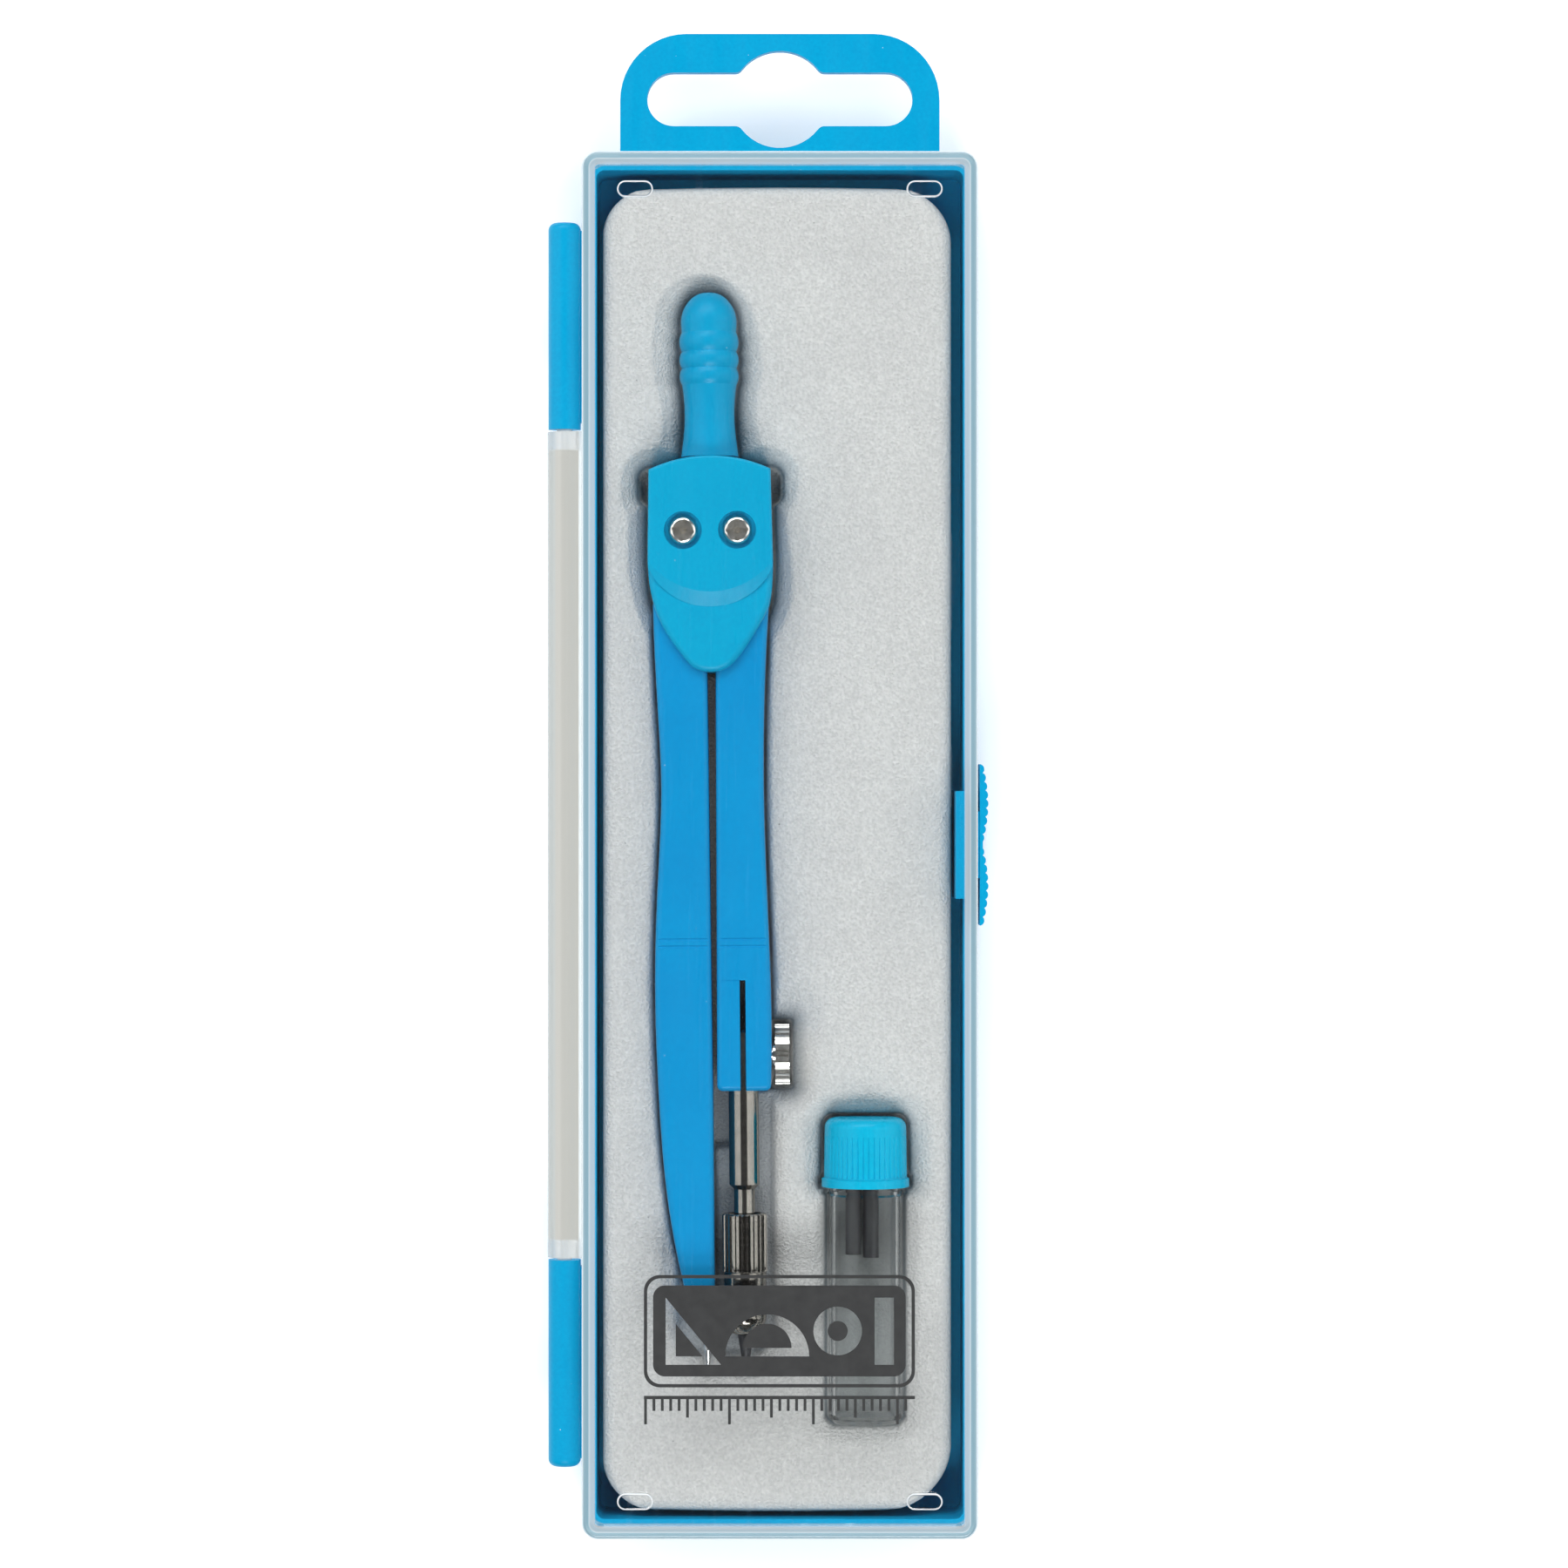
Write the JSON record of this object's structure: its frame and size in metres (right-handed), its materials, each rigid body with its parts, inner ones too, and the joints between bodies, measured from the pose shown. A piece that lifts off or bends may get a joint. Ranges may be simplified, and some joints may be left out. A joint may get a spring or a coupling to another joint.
{
  "type": "drafting instrument case",
  "caption": "Blue hanging pocket case with a clear hinged lid, holding a geared school compass and a tube of spare leads in a soft liner",
  "frame": {"origin": "Middle of the tray's flat back, which lies on z=0", "axes": "+X points to the latch side, away from the hinge; +Y points up, to the hang tab; +Z points out of the back, to the lid"},
  "size_m": [0.053, 0.1807, 0.0184],
  "materials": {
    "blue_case": "satin",
    "clear_lid": "clear, polished",
    "flocked_liner": "flocked, matte",
    "blue_handle": "satin",
    "blue_head": "satin",
    "blue_legs": "satin",
    "nickel_screws": "bright nickel",
    "needle_steel": "ground",
    "nickel_clamp_screw": "bright nickel, knurled",
    "nickel_holder": "bright nickel",
    "graphite": "dark, slightly shiny",
    "clear_tube": "clear",
    "blue_cap": "satin"
  },
  "bodies": {
    "case": {"case_tray": "blue_case", "liner": "flocked_liner"},
    "latch": {"latch": "blue_case"},
    "lid": {"lid": "clear_lid"},
    "compass": {"compass_handle": "blue_handle", "head_front_cover": "blue_head", "head_rear_cover": "blue_head", "pivot_screw_left": "nickel_screws", "pivot_screw_right": "nickel_screws"},
    "needle_leg": {"needle_leg": "blue_legs", "needle": "needle_steel"},
    "lead_leg": {"lead_leg": "blue_legs"},
    "clamp_screw": {"clamp_screw": "nickel_clamp_screw"},
    "lead_holder": {"lead_holder": "nickel_holder", "collet": "nickel_holder"},
    "collet_nut": {"collet_nut": "nickel_holder"},
    "compass_lead": {"compass_lead": "graphite"},
    "lead_tube": {"lead_tube": "clear_tube"},
    "tube_cap": {"tube_cap": "blue_cap"},
    "spare_leads": {"spare_lead_left": "graphite", "spare_lead_right": "graphite"}
  },
  "joints": [
    {"name": "lid_hinge", "type": "hinge", "parent": "case", "child": "lid", "pos_m": [-0.02595, 0, 0.011], "axis": [0, -1, 0], "range_deg": [0, 180]},
    {"name": "latch_flex", "type": "hinge", "parent": "case", "child": "latch", "pos_m": [0.02415, 0, 0.0036], "axis": [0, 1, 0], "range_deg": [0, 6], "stiffness_Nm_per_rad": 0.05},
    {"name": "compass_lift", "type": "slide", "parent": "case", "child": "compass", "axis": [0, 0, 1], "range_m": [0, 0.032]},
    {"name": "needle_leg_pivot", "type": "hinge", "parent": "compass", "child": "needle_leg", "pos_m": [-0.01159, 0.03762, 0.011], "axis": [0, 0, -1], "range_deg": [0, 15]},
    {"name": "lead_leg_pivot", "type": "hinge", "parent": "compass", "child": "lead_leg", "pos_m": [-0.00511, 0.03768, 0.011], "axis": [0, 0, 1], "range_deg": [0, 15]},
    {"name": "clamp_screw_turn", "type": "hinge", "parent": "lead_leg", "child": "clamp_screw", "pos_m": [0.0002, -0.02538, 0.009], "axis": [1, 0.0087, 0], "range_deg": [0, 360]},
    {"name": "lead_holder_slide", "type": "slide", "parent": "lead_leg", "child": "lead_holder", "axis": [-0.0087, 1, 0], "range_m": [-0.0015, 0.0055]},
    {"name": "collet_nut_turn", "type": "hinge", "parent": "lead_holder", "child": "collet_nut", "pos_m": [-0.00418, -0.05032, 0.012], "axis": [-0.0087, 1, 0], "range_deg": [0, 360]},
    {"name": "lead_feed", "type": "slide", "parent": "lead_holder", "child": "compass_lead", "axis": [0.0087, -1, 0], "range_m": [-0.004, 0.001]},
    {"name": "tube_lift", "type": "slide", "parent": "case", "child": "lead_tube", "axis": [0, 0, 1], "range_m": [0, 0.0095]},
    {"name": "cap_pull", "type": "slide", "parent": "lead_tube", "child": "tube_cap", "axis": [0, 1, 0], "range_m": [0, 0.0064]},
    {"name": "spare_leads_slide", "type": "slide", "parent": "lead_tube", "child": "spare_leads", "axis": [0, 1, 0], "range_m": [-0.018, 0]}
  ],
  "couplings": [
    {"joint": "compass_lift", "follows": "lid_hinge", "m_per_rad": 0.01},
    {"joint": "needle_leg_pivot", "follows": "lid_hinge", "ratio": 0.08},
    {"joint": "lead_leg_pivot", "follows": "lid_hinge", "ratio": 0.08},
    {"joint": "tube_lift", "follows": "lid_hinge", "m_per_rad": 0.003},
    {"joint": "cap_pull", "follows": "lid_hinge", "m_per_rad": 0.002}
  ]
}
